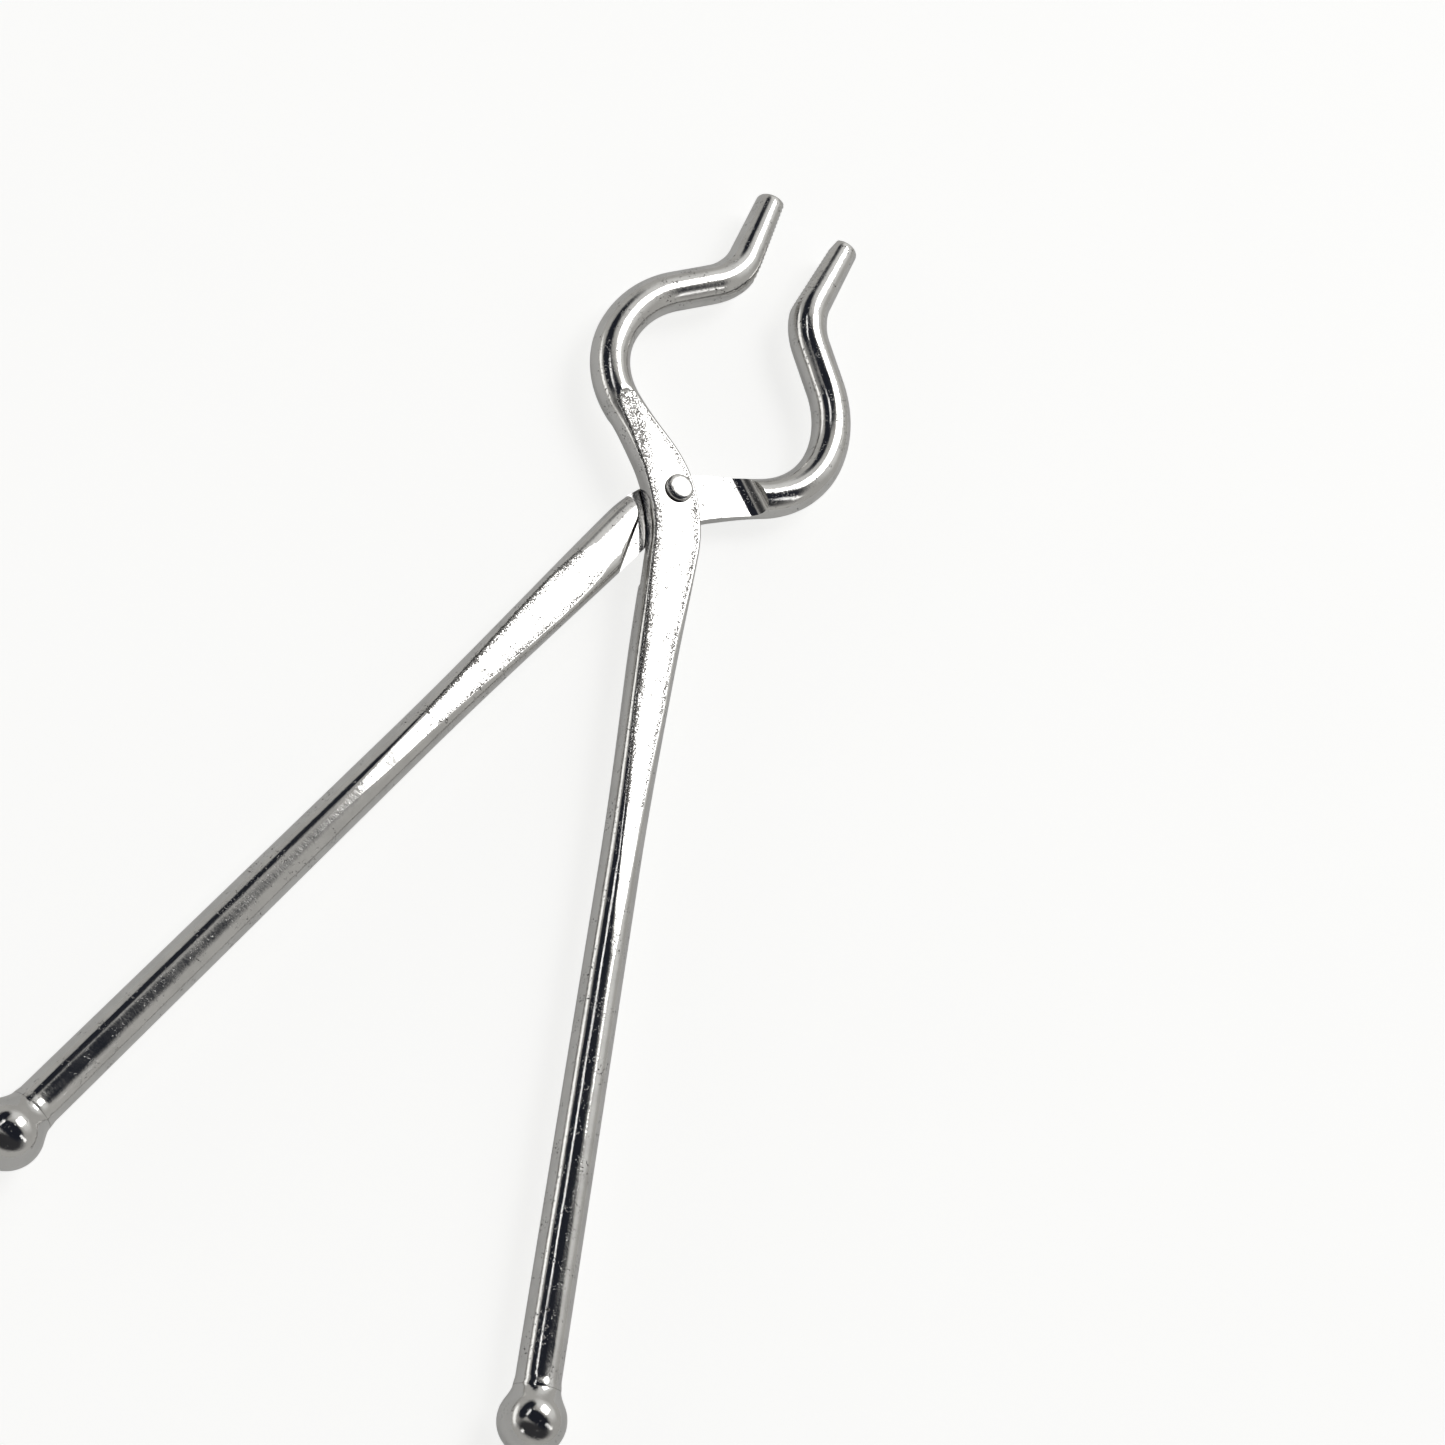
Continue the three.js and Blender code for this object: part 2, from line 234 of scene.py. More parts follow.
class Section:
    """A squared oval with a flat on its top and its bottom, and softened edges."""

    NARROWEST_FLAT = 65 * DEGREE
    FLANK_STEPS = 18
    EDGE_STEPS = 5
    FLAT_STEPS = 10
    TINY_TURN = 0.01 * DEGREE
    WIDEST_SEARCH = 20 * DEGREE
    SEARCH_STEPS = 20
    NEARLY_PARALLEL = 1e-12

    def __init__(self, half_width, half_height, power, centre, top, bottom):
        self.half_width = half_width
        self.half_height = half_height
        self.power = power
        self.centre = centre
        self.top = top - centre
        self.bottom = bottom - centre

    def flat_edge(self, height):
        """The angle at which a flat of this height meets the flank."""
        ratio = min(height / self.half_height, 1)
        return min(math.asin(ratio ** (self.power / 2)), self.NARROWEST_FLAT)

    def on_curve(self, angle):
        """The point at an angle, cut off at the flats."""
        across = squared(math.cos(angle), self.power) * self.half_width
        height = squared(math.sin(angle), self.power) * self.half_height
        return Vector((across, clamp(height, self.bottom, self.top)))

    def softened(self, start, end):
        """A smooth corner between two angles, tangent to the curve at both."""
        first, last = self.on_curve(start), self.on_curve(end)
        out = first - self.on_curve(start - self.TINY_TURN)
        back = self.on_curve(end + self.TINY_TURN) - last
        cross = out.x * back.y - out.y * back.x
        if abs(cross) < self.NEARLY_PARALLEL:
            corner = (first + last) / 2
        else:
            gap = last - first
            corner = first + out * ((gap.x * back.y - gap.y * back.x) / cross)
        points = []
        for step in range(self.EDGE_STEPS):
            t = step / self.EDGE_STEPS
            points.append(first * (1 - t) ** 2 + corner * 2 * t * (1 - t) + last * t * t)
        return points

    def angle_away(self, angle, sense):
        """The angle whose point is EDGE_SOFTENING away from the one given."""
        near, far = 0.0, self.WIDEST_SEARCH
        here = self.on_curve(angle)
        for _ in range(self.SEARCH_STEPS):
            middle = (near + far) / 2
            if (self.on_curve(angle + sense * middle) - here).length < EDGE_SOFTENING:
                near = middle
            else:
                far = middle
        return angle + sense * near

    def outline(self):
        """Pairs of a point and its wear, anticlockwise from the flank's meeting with the upper flat."""
        top = self.flat_edge(self.top)
        bottom = self.flat_edge(-self.bottom)
        corners = (top, math.pi - top, math.pi + bottom, 2 * math.pi - bottom)
        spans = [(self.angle_away(angle, -1), self.angle_away(angle, 1)) for angle in corners]
        points = []
        for index, (start, end) in enumerate(spans):
            points += self.softened(start, end)
            following = spans[(index + 1) % 4][0] + (2 * math.pi if index == 3 else 0)
            steps = self.FLAT_STEPS if index % 2 == 0 else self.FLANK_STEPS
            points += [self.on_curve(end + (following - end) * step / steps) for step in range(steps)]
        return [(Vector((point.x, point.y + self.centre)), self.wear_at(point)) for point in points]

    def wear_at(self, point):
        """The place across a flat: 1 at its left edge and -1 at its right, seen face on with the jaws up.

        It grows past that down the flanks, and is NO_FLAT where no flat is left.
        """
        flat = self.top if point.y > 0 else self.bottom
        edge = self.flat_edge(abs(flat))
        if edge == self.NARROWEST_FLAT:
            return NO_FLAT
        facing = 1 if point.y > 0 else -1
        drop = abs(flat) - abs(point.y)
        if drop < FLAT_EDGE_DROP:
            return facing * point.x / self.on_curve(edge).x
        return facing * math.copysign(1 + drop, point.x)


def squared(value, power):
    """Bends a cosine or sine, so that a circle becomes a squared oval. A power of 2 leaves it as it is."""
    return math.copysign(abs(value) ** (2 / power), value)


def section_at(along, tip_end):
    radius = radius_at(along, tip_end)
    forging = hump(along, SPREAD_REACH_JAW, SPREAD_REACH_HANDLE)
    top, bottom = flats_at(along)
    return Section(
        half_width=radius * (1 + SPREAD * forging),
        half_height=radius,
        power=ROUND_POWER + (SQUARE_POWER - ROUND_POWER) * forging,
        centre=RISE * hump(along, RISE_REACH_JAW, RISE_REACH_HANDLE),
        top=top,
        bottom=bottom,
    )


def round_section(radius):
    return Section(radius, radius, ROUND_POWER, 0, NO_FLAT, -NO_FLAT)


# ---- Meshes ----
def placed(point):
    """Millimetres about the rivet to metres in the frame."""
    return Vector(point) * MM + PIVOT


def make_object(name, points, faces, uvs, wear=None):
    """uvs and wear hold one pair for each corner of each face. Those of uvs are in millimetres.

    The Grain layer holds lengths along and round the piece, the Wear layer places across and along a flat.
    """
    mesh = bpy.data.meshes.new(name)
    mesh.from_pydata([placed(point) for point in points], [], faces)
    layer = mesh.uv_layers.new(name="Grain")
    layer.uv.foreach_set("vector", [value * MM for face in uvs for pair in face for value in pair])
    if wear:
        layer = mesh.uv_layers.new(name="Wear")
        layer.uv.foreach_set("vector", [value for face in wear for pair in face for value in pair])
    mesh.validate()
    made = bpy.data.objects.new(name, mesh)
    bpy.context.scene.collection.objects.link(made)
    return made


def swept(name, rings, alongs, wear=None):
    """Joins rings of points into a closed skin. Alongs are the lengths along it, for the grain."""
    count = len(rings[0])
    points = [point for ring in rings for point in ring]
    girths = []
    for ring in rings:
        girth = [0.0]
        for index in range(count):
            girth.append(girth[-1] + (ring[(index + 1) % count] - ring[index]).length)
        girths.append(girth)
    faces, uvs, worn = [], [], []
    for row in range(len(rings) - 1):
        for index in range(count):
            corners = ((row, index), (row, index + 1), (row + 1, index + 1), (row + 1, index))
            faces.append(tuple(r * count + i % count for r, i in corners))
            uvs.append(tuple((alongs[r], girths[r][i]) for r, i in corners))
            if wear:
                worn.append(tuple((wear[r][i % count], alongs[r]) for r, i in corners))
    for row, order in ((0, -1), (len(rings) - 1, 1)):
        centre = len(points)
        points.append(sum(rings[row], Vector((0, 0, 0))) / count)
        for index in range(count):
            pair = (row * count + index, row * count + (index + 1) % count)[::order]
            faces.append((*pair, centre))
            uvs.append(tuple((points[corner].x, points[corner].z) for corner in (*pair, centre)))
            if wear:
                worn.append(((NO_FLAT, alongs[row]),) * 3)
    return make_object(name, points, faces, uvs, worn)


def row_past(station, distance, radius):
    """A round section this far past a station, in line with it."""
    x, y, heading, along = station
    x -= distance * math.sin(heading)
    y += distance * math.cos(heading)
    return x, y, heading, along + distance, round_section(radius)


def spigot_rows(station):
    """The turned end of the handle: a spigot that goes into the ball, and the flared shoulder at its neck."""
    shoulder = NECK_PLANE + NECK_SEAM
    swell = ROD_RADIUS * HANDLE_SWELL
    turned = [(NECK_PLANE - SPIGOT_DEPTH, SPIGOT_RADIUS), (shoulder, SPIGOT_RADIUS), (shoulder, NECK_RADIUS)]
    for step in range(1, FLARE_STEPS + 1):
        part = step / FLARE_STEPS
        radius = NECK_RADIUS + (swell - NECK_RADIUS) * ease(part)
        turned.append((shoulder + (NECK_FLARE - NECK_SEAM) * part, radius))
    return [row_past(station, distance, radius) for distance, radius in turned]


def tip_rows(station):
    """The rounded lip at the end of the jaw."""
    rows = []
    for step in range(1, TIP_STEPS + 1):
        angle = math.pi / 2 * step / TIP_STEPS
        radius = TIP_END_RADIUS - TIP_ROUNDING * (1 - math.cos(angle))
        rows.append(row_past(station, TIP_ROUNDING * math.sin(angle), radius))
    return rows


def arm_rings():
    """Every ring of an arm from the end of its spigot to its tip, with lengths along it and wear round it."""
    stations = arm_stations()
    tip_end = stations[-1][3] + TIP_ROUNDING
    rod_start = stations[0][3] + NECK_PLANE + NECK_FLARE + ROD_START_GAP
    rod = [(*station, section_at(station[3], tip_end)) for station in stations if station[3] > rod_start]
    rows = [*spigot_rows(stations[0]), *rod, *tip_rows(stations[-1])]
    rings, wear = [], []
    for x, y, heading, _, section in rows:
        right = Vector((math.cos(heading), math.sin(heading), 0))
        outline = section.outline()
        rings.append([Vector((x, y, 0)) - right * p.x + Vector((0, 0, p.y)) for p, _ in outline])
        wear.append([worn for _, worn in outline])
    return rings, [row[3] for row in rows], wear


def ease(part):
    """From 0 to 1, level at both ends."""
    return part * part * (3 - 2 * part)


def lathe(name, profile, place):
    """Spins (radius, height) pairs, the first and last of them on the axis, and places each point."""
    rings = []
    for radius, height in profile:
        ring = []
        for step in range(LATHE_STEPS):
            angle = 2 * math.pi * step / LATHE_STEPS
            ring.append(place(Vector((radius * math.cos(angle), radius * math.sin(angle), height))))
        rings.append(ring)
    return swept(name, rings, [height for _, height in profile])


# ---- Cutters ----
CUTTER_SIZE = 100
CUTTER_DEPTH = 50


def box_between(name, low, high, turn):
    """A box between two corners, turned about the rivet."""
    spin = Matrix.Rotation(turn, 3, "Z")
    points = [spin @ Vector((x, y, z)) for x in (low[0], high[0]) for y in (low[1], high[1])
              for z in (low[2], high[2])]
    faces = [(0, 1, 3, 2), (4, 6, 7, 5), (0, 4, 5, 1), (2, 3, 7, 6), (0, 2, 6, 4), (1, 5, 7, 3)]
    uvs = [tuple((points[corner].x, points[corner].y) for corner in face) for face in faces]
    return make_object(name, points, faces, uvs)


def loft(name, outlines, heights, place=Vector):
    """Joins outlines drawn at rising heights into a solid, then places each point."""
    count = len(outlines[0])
    points = []
    for outline, height in zip(outlines, heights):
        points += [place(Vector((*corner, height))) for corner in outline]
    last = len(points) - count
    faces = [tuple(range(count))[::-1], tuple(range(last, last + count))]
    for low in range(0, last, count):
        for index in range(count):
            following = (index + 1) % count
            faces.append((low + index, low + following, low + following + count, low + index + count))
    uvs = [tuple((points[corner].y, points[corner].z) for corner in face) for face in faces]
    return make_object(name, points, faces, uvs)


def prism(name, outline, low, high, place):
    return loft(name, [outline, outline], [low, high], place)


def combine(first, second, how):
    """Replaces the first object's mesh by the exact boolean of the two, and removes the second."""
    step = first.modifiers.new("cut", "BOOLEAN")
    step.operation = how
    step.solver = "EXACT"
    step.object = second
    graph = bpy.context.evaluated_depsgraph_get()
    made = bpy.data.meshes.new_from_object(first.evaluated_get(graph))
    first.modifiers.clear()
    first.data = made
    bpy.data.objects.remove(second)
    return first


def round_bar(name, radius, length, steps, place):
    outline = [(radius * math.cos(2 * math.pi * i / steps), radius * math.sin(2 * math.pi * i / steps))
               for i in range(steps)]
    return prism(name, outline, -length / 2, length / 2, place)


def shoulder_outline(inset):
    """The handle's rounded end beside the halved joint, seen from above and drawn in by inset."""
    ways = (CLOSING_ANGLE - HANDLE_ANGLE, -ROOT_ANGLE - ROOT_CUT_BACK)
    reaches = (WIDEST_HALF + LAP_CLEARANCE - HANDLE_OFFSET, WIDEST_HALF + LAP_CLEARANCE)
    (c1, s1), (c2, s2) = ((math.cos(way), math.sin(way)) for way in ways)
    r1, r2 = (reach + SHOULDER_CORNER for reach in reaches)
    spread = c1 * s2 - c2 * s1
    middle = Vector((r1 * s2 - r2 * s1, c1 * r2 - c2 * r1)) / spread
    radius = SHOULDER_CORNER - inset
    outline = [middle + Vector((s1, -c1)) * CUTTER_SIZE - Vector((c1, s1)) * radius]
    for step in range(SHOULDER_CORNER_STEPS + 1):
        way = ways[0] + (ways[1] - ways[0]) * step / SHOULDER_CORNER_STEPS
        outline.append(middle - Vector((math.cos(way), math.sin(way))) * radius)
    outline.append(middle + Vector((-s2, c2)) * CUTTER_SIZE - Vector((c2, s2)) * radius)
    outline.append(middle + Vector((s1 - s2, c2 - c1)) * CUTTER_SIZE)
    return outline[::-1]


def shoulder():
    """The part of the handle that the halved joint leaves, with a rounded slope down to the joint."""
    depth = LAP_FLOOR - HANDLE_FLAT_BOTTOM
    overshoot = 1
    layers = [(SHOULDER_ROUNDING, -CUTTER_DEPTH - overshoot)]
    for step in range(SHOULDER_SLOPE_STEPS + 1):
        angle = math.pi / 2 * (1 - step / SHOULDER_SLOPE_STEPS)
        layers.append((SHOULDER_ROUNDING * (1 - math.cos(angle)), LAP_FLOOR - depth * math.sin(angle)))
    layers.append((0, LAP_FLOOR + overshoot))
    outlines = [shoulder_outline(inset) for inset, _ in layers]
    return loft("shoulder", outlines, [height for _, height in layers])


def lap_cutters():
    """The halved joint's pocket, and the scooped run-out at its end."""
    across = ROOT_ANGLE + math.pi / 2 - RUN_OUT_SKEW
    low = (LAP_LENGTH - CUTTER_SIZE, -CUTTER_SIZE, -CUTTER_DEPTH)
    pocket = box_between("pocket", low, (LAP_LENGTH, CUTTER_SIZE, LAP_FLOOR), across)
    pocket = combine(pocket, shoulder(), "DIFFERENCE")
    spin = Matrix.Rotation(across, 3, "Z")
    axis_height = LAP_FLOOR + RUN_OUT_BITE - RUN_OUT_RADIUS

    def lay(point):
        return spin @ Vector((LAP_LENGTH + point.x, -point.z, axis_height + point.y))

    run_out = round_bar("run_out", RUN_OUT_RADIUS, RUN_OUT_WIDTH, RUN_OUT_STEPS, lay)
    return [pocket, run_out]


def grip_cutter():
    """The ground and toothed face of the jaw, on a line through the rivet."""
    outline = [(-LAP_FLOOR, GRIP_START), (GRIP_BACK_OFF, GRIP_START),
               (GRIP_BACK_OFF, GRIP_START + TOOTH_COUNT * TOOTH_PITCH)]
    for tooth in range(TOOTH_COUNT, 0, -1):
        outline.append((-LAP_FLOOR, GRIP_START + tooth * TOOTH_PITCH))
        outline.append((-LAP_FLOOR - TOOTH_DEPTH, GRIP_START + (tooth - 0.5) * TOOTH_PITCH))
    spin = Matrix.Rotation(CLOSING_ANGLE / 2, 3, "Z")
    return prism("teeth", outline, -2 * ROD_RADIUS, 2 * ROD_RADIUS, lambda point: spin @ point)


def rivet_hole():
    return round_bar("rivet_hole", SHANK_RADIUS + FIT_GAP, 8 * ROD_RADIUS, HOLE_STEPS, Vector)


def smooth_by_angle(piece, angle):
    """Shades the piece smooth, apart from edges that turn by more than the angle."""
    for polygon in piece.data.polygons:
        polygon.use_smooth = True
    piece.data.set_sharp_from_angle(angle=angle)


def make_arm(name):
    """The bent and forged rod, less its halved joint, its gripping face and the rivet's hole."""
    arm = swept(name, *arm_rings())
    for cutter in (*lap_cutters(), grip_cutter(), rivet_hole()):
        combine(arm, cutter, "DIFFERENCE")
    smooth_by_angle(arm, ARM_SHARP_EDGE)
    return arm


def turn_over(piece, name):
    """A copy of a finished front piece, turned over about +Y through the rivet."""
    mesh = piece.data.copy()
    mesh.transform(Matrix.Translation(PIVOT) @ Matrix.Rotation(math.pi, 4, "Y") @ Matrix.Translation(-PIVOT))
    made = bpy.data.objects.new(name, mesh)
    bpy.context.scene.collection.objects.link(made)
    return made


# ---- Ball and rivet ----
def make_ball(name):
    """Bored for the spigot, with a short fillet up to the handle's shoulder."""
    bore = SPIGOT_RADIUS + FIT_GAP
    bore_end = NECK_PLANE - SPIGOT_DEPTH - FIT_GAP
    profile = []
    for step in range(BALL_STEPS + 1):
        angle = -math.pi / 2 + (BALL_NECK_ANGLE + math.pi / 2) * step / BALL_STEPS
        profile.append((max(BALL_RADIUS * math.cos(angle), AXIS_RADIUS), BALL_RADIUS * math.sin(angle)))
    start = Vector(profile[-1])
    tangent = (start.x - NECK_RADIUS) / math.tan(BALL_NECK_ANGLE)
    control = Vector((NECK_RADIUS, start.y + tangent))
    end = Vector((NECK_RADIUS, NECK_PLANE))
    for step in range(1, NECK_STEPS + 1):
        t = step / NECK_STEPS
        profile.append(tuple(start * (1 - t) ** 2 + control * 2 * t * (1 - t) + end * t * t))
    profile += [(bore, NECK_PLANE), (bore, bore_end), (AXIS_RADIUS, bore_end)]
    spin = Matrix.Rotation(HANDLE_ANGLE, 3, "Z")
    centre = Vector((HANDLE_SPREAD, -HANDLE_REACH, 0))

    def place(point):
        return centre + spin @ Vector((point.x, point.z, -point.y))

    ball = lathe(name, profile, place)
    smooth_by_angle(ball, BALL_SHARP_EDGE)
    return ball


def head_profile():
    """A peened head: a steep edge under a nearly flat dome."""
    points = []
    for step in range(HEAD_STEPS + 1):
        angle = math.pi / 2 * step / HEAD_STEPS
        radius = HEAD_RADIUS * squared(math.cos(angle), HEAD_POWER)
        height = OUTER_FLAT + HEAD_SEAT + HEAD_HEIGHT * squared(math.sin(angle), HEAD_POWER)
        points.append((max(radius, AXIS_RADIUS), height))
    return points


def make_rivet(name):
    """One shank, with a head peened over at each end."""
    seat = OUTER_FLAT + HEAD_SEAT
    upper = head_profile()
    lower = [(radius, -height) for radius, height in reversed(upper)]
    rivet = lathe(name, [*lower, (SHANK_RADIUS, -seat), (SHANK_RADIUS, seat), *upper], Vector)
    smooth_by_angle(rivet, RIVET_SHARP_EDGE)
    return rivet


# ---- Materials ----
SMUDGE_SHADE = 0.9
PIT_COLOUR = (0.09, 0.085, 0.08)
PIT_ROUGHNESS = 0.3


class Nodes:
    """Short ways to add nodes to a node tree. Their values are numbers, colours or other nodes' outputs."""

    def __init__(self, tree):
        self.tree = tree

    def add(self, kind, **values):
        node = self.tree.nodes.new(kind)
        for key, value in values.items():
            setattr(node, key, value)
        return node

    def link(self, source, target):
        self.tree.links.new(source, target)

    def noise_at(self, place, scale, detail, roughness):
        mapping = self.add("ShaderNodeMapping")
        mapping.inputs["Scale"].default_value = scale
        self.link(place, mapping.inputs["Vector"])
        node = self.add("ShaderNodeTexNoise")
        for key, value in (("Scale", 1.0), ("Detail", detail), ("Roughness", roughness)):
            node.inputs[key].default_value = value
        self.link(mapping.outputs["Vector"], node.inputs["Vector"])
        return node.outputs["Fac"]

    def noise(self, per_mm, detail=2.0, roughness=0.5):
        """Noise through the whole piece, even in every direction."""
        place = self.add("ShaderNodeTexCoord").outputs["Object"]
        return self.noise_at(place, (per_mm / MM,) * 3, detail, roughness)

    def drawn_noise(self, per_mm_along, per_mm_round, detail, roughness):
        """Noise drawn out along the piece."""
        place = self.add("ShaderNodeUVMap", uv_map="Grain").outputs["UV"]
        return self.noise_at(place, (per_mm_along / MM, per_mm_round / MM, 1.0), detail, roughness)

    def remap(self, source, low, high, to_low, to_high):
        node = self.add("ShaderNodeMapRange", interpolation_type="SMOOTHSTEP")
        for key, value in (("From Min", low), ("From Max", high), ("To Min", to_low), ("To Max", to_high)):
            node.inputs[key].default_value = value
        self.link(source, node.inputs["Value"])
        return node.outputs["Result"]

    def maths(self, operation, first, second=0.0):
        node = self.add("ShaderNodeMath", operation=operation)
        for socket, value in zip(node.inputs, (first, second)):
            if isinstance(value, (int, float)):
                socket.default_value = value
            else:
                self.link(value, socket)
        return node.outputs["Value"]

    def product(self, first, *others):
        for other in others:
            first = self.maths("MULTIPLY", first, other)
        return first

    def mix(self, first, second, factor):
        """Goes from the first colour to the second as the factor goes from 0 to 1."""
        node = self.add("ShaderNodeMix", data_type="RGBA")
        for key, value in (("A", first), ("B", second)):
            if isinstance(value, tuple):
                node.inputs[key].default_value = (*value, 1.0)
            else:
                self.link(value, node.inputs[key])
        self.link(factor, node.inputs["Factor"])
        return node.outputs["Result"]

    def dot(self, view, axis):
        node = self.add("ShaderNodeVectorMath", operation="DOT_PRODUCT")
        node.inputs[1].default_value = axis
        self.link(view, node.inputs[0])
        return node.outputs["Value"]

    def bump(self, height, distance, strength, below=None):
        """Bumps of a depth in millimetres, on top of the ones below."""
        node = self.add("ShaderNodeBump")
        node.inputs["Distance"].default_value = distance * MM
        node.inputs["Strength"].default_value = strength
        self.link(height, node.inputs["Height"])
        if below:
            self.link(below, node.inputs["Normal"])
        return node.outputs["Normal"]


def new_material(name):
    """A material, its nodes and its shader."""
    material = bpy.data.materials.new(name)
    material.use_nodes = True
    return material, Nodes(material.node_tree), material.node_tree.nodes["Principled BSDF"]


def flat_specks(nodes):
    """Stippling that crowds along the edges of the flats, and in a wedge at the jaw end of the outer flat."""
    split = nodes.add("ShaderNodeSeparateXYZ")
    nodes.link(nodes.add("ShaderNodeUVMap", uv_map="Wear").outputs["UV"], split.inputs["Vector"])
    across, along = split.outputs["X"], split.outputs["Y"]
    from_middle = nodes.maths("ABSOLUTE", across)
    near_edges = nodes.remap(from_middle, 0.45, 0.95, 0.0, 1.0)
    up_to_left_flank = nodes.remap(across, 1.0, 1.3, 1.0, 0.0)
    short_of_right_edge = nodes.remap(across, -0.96, -0.84, 0.0, 1.0)
    band = nodes.product(near_edges, up_to_left_flank, short_of_right_edge)

    on_flat = nodes.remap(from_middle, 1.0, 1.1, 1.0, 0.0)
    wedge_length = 14
    toward_wedge = nodes.maths("ADD", nodes.product(along, 1 / wedge_length), nodes.product(across, 0.5))
    up_to_run_out = nodes.remap(along, 19.5, 21.5, 1.0, 0.0)
    wedge = nodes.product(nodes.remap(toward_wedge, 0.5, 1.15, 0.0, 0.97), up_to_run_out, on_flat)

    clumps = nodes.remap(nodes.noise(0.5), 0.3, 0.6, 0.55, 1.0)
    crowd = nodes.product(nodes.maths("MAXIMUM", band, wedge), clumps)
    raised = nodes.maths("ADD", nodes.noise(3.8, roughness=0.7), nodes.product(crowd, 0.17))
    return nodes.product(nodes.remap(raised, 0.59, 0.64, 0.0, 0.9), nodes.remap(crowd, 0.1, 0.3, 0.0, 1.0))


def scattered_pits(nodes, depth):
    """A few small pits in patches all over."""
    specks = nodes.remap(nodes.noise(2.6, roughness=0.7), 0.60, 0.66, 0.0, 1.0)
    return nodes.product(specks, nodes.remap(nodes.noise(0.35), 0.5, 0.62, 0.0, depth))


def polished_steel(name, tint, smoothest, roughest, grain, pitting, edge_wear=False):
    """Mirror polish over uneven steel, smudged, with fine lines drawn along it and dark pits.

    Roughness goes from smoothest to roughest with the smudges, and the lines add up to grain to it.
    """
    material, nodes, shader = new_material(name)
    shader.inputs["Metallic"].default_value = 1.0
    smudges = nodes.noise(0.22, detail=3.0, roughness=0.6)
    lines = nodes.drawn_noise(0.1, 7.0, detail=3.0, roughness=0.6)
    pits = scattered_pits(nodes, pitting)
    if edge_wear:
        pits = nodes.maths("MAXIMUM", pits, flat_specks(nodes))

    smudged = tuple(value * SMUDGE_SHADE for value in tint)
    steel = nodes.mix(tint, smudged, nodes.remap(smudges, 0.35, 0.7, 0.0, 1.0))
    nodes.link(nodes.mix(steel, PIT_COLOUR, pits), shader.inputs["Base Color"])

    polish = nodes.remap(smudges, 0.3, 0.75, smoothest, roughest)
    drawn = nodes.maths("ADD", polish, nodes.remap(lines, 0.4, 0.8, 0.0, grain))
    pitted = nodes.maths("ADD", drawn, nodes.product(pits, PIT_ROUGHNESS))
    nodes.link(pitted, shader.inputs["Roughness"])

    waves = nodes.bump(nodes.noise(0.11, detail=1.0), 0.35, 0.35)
    peel = nodes.bump(nodes.noise(1.1), 0.03, 0.35, waves)
    fine = nodes.bump(nodes.noise(3.5), 0.006, 1.0, peel)
    scored = nodes.bump(lines, 0.01, 0.5, fine)
    nodes.link(nodes.bump(pits, -0.05, 0.8, scored), shader.inputs["Normal"])
    return material


# ---- Stage, light and camera ----
FLOOR_SIZE = 6.0
FLOOR_COLOURS = ((0.5, 0.5, 0.495), (0.47, 0.47, 0.465))
FLOOR_GLOW_COLOUR = (1.0, 1.0, 0.99)
# The floor's glow as it is seen, and as the steel mirrors it.
FLOOR_GLOW = 0.77
FLOOR_GLOW_MIRRORED = 0.22
AIM = Vector((0.0229, 0.0127, PIVOT.z))
CAMERA_DISTANCE = 0.4582
CAMERA_AZIMUTH = -22.5
CAMERA_ELEVATION = 59.4
CAMERA_ROLL = 51.0
LENS = 74.74
SENSOR_WIDTH = 36
NEAREST_SEEN = 0.01


def direction(azimuth, elevation):
    """From the object toward a place round it. Azimuth 0 is toward -Y, 90 toward +X."""
    a, e = azimuth * DEGREE, elevation * DEGREE
    return Vector((math.sin(a) * math.cos(e), -math.cos(a) * math.cos(e), math.sin(e)))


def plain_board(name):
    """Pale matt board, with a trace of unevenness."""
    material, nodes, shader = new_material(name)
    nodes.link(nodes.mix(*FLOOR_COLOURS, nodes.noise(0.02, detail=3.0)), shader.inputs["Base Color"])
    shader.inputs["Roughness"].default_value = 0.85
    shader.inputs["Specular IOR Level"].default_value = 0.2
    shader.inputs["Emission Color"].default_value = (*FLOOR_GLOW_COLOUR, 1.0)
    mirrored = nodes.add("ShaderNodeLightPath").outputs["Is Glossy Ray"]
    glow = nodes.remap(mirrored, 0.0, 1.0, FLOOR_GLOW, FLOOR_GLOW_MIRRORED)
    nodes.link(glow, shader.inputs["Emission Strength"])
    return material


def make_floor():
    half = FLOOR_SIZE / 2
    mesh = bpy.data.meshes.new("floor")
    corners = [(-half, -half, 0), (half, -half, 0), (half, half, 0), (-half, half, 0)]
    mesh.from_pydata(corners, [], [(0, 1, 2, 3)])
    floor = bpy.data.objects.new("floor", mesh)
    bpy.context.scene.collection.objects.link(floor)
    mesh.materials.append(plain_board("pale_board"))


def softbox(name, azimuth, elevation, distance, width, height, watts):
    """A soft white light that faces the object and stays out of the camera's sight."""
    light = bpy.data.lights.new(name, "AREA")
    light.shape = "RECTANGLE"
    light.size = width
    light.size_y = height
    light.energy = watts
    made = bpy.data.objects.new(name, light)
    back = direction(azimuth, elevation)
    made.location = AIM + back * distance
    made.rotation_mode = "QUATERNION"
    made.rotation_quaternion = back.to_track_quat("Z", "Y")
    made.visible_camera = False
    bpy.context.scene.collection.objects.link(made)


ROOM_LEVEL = (0.42, 0.415, 0.40)
BACKDROP = (0.93, 0.93, 0.92)
DARK = (0.015, 0.017, 0.024)
DUSK = (0.035, 0.035, 0.038)
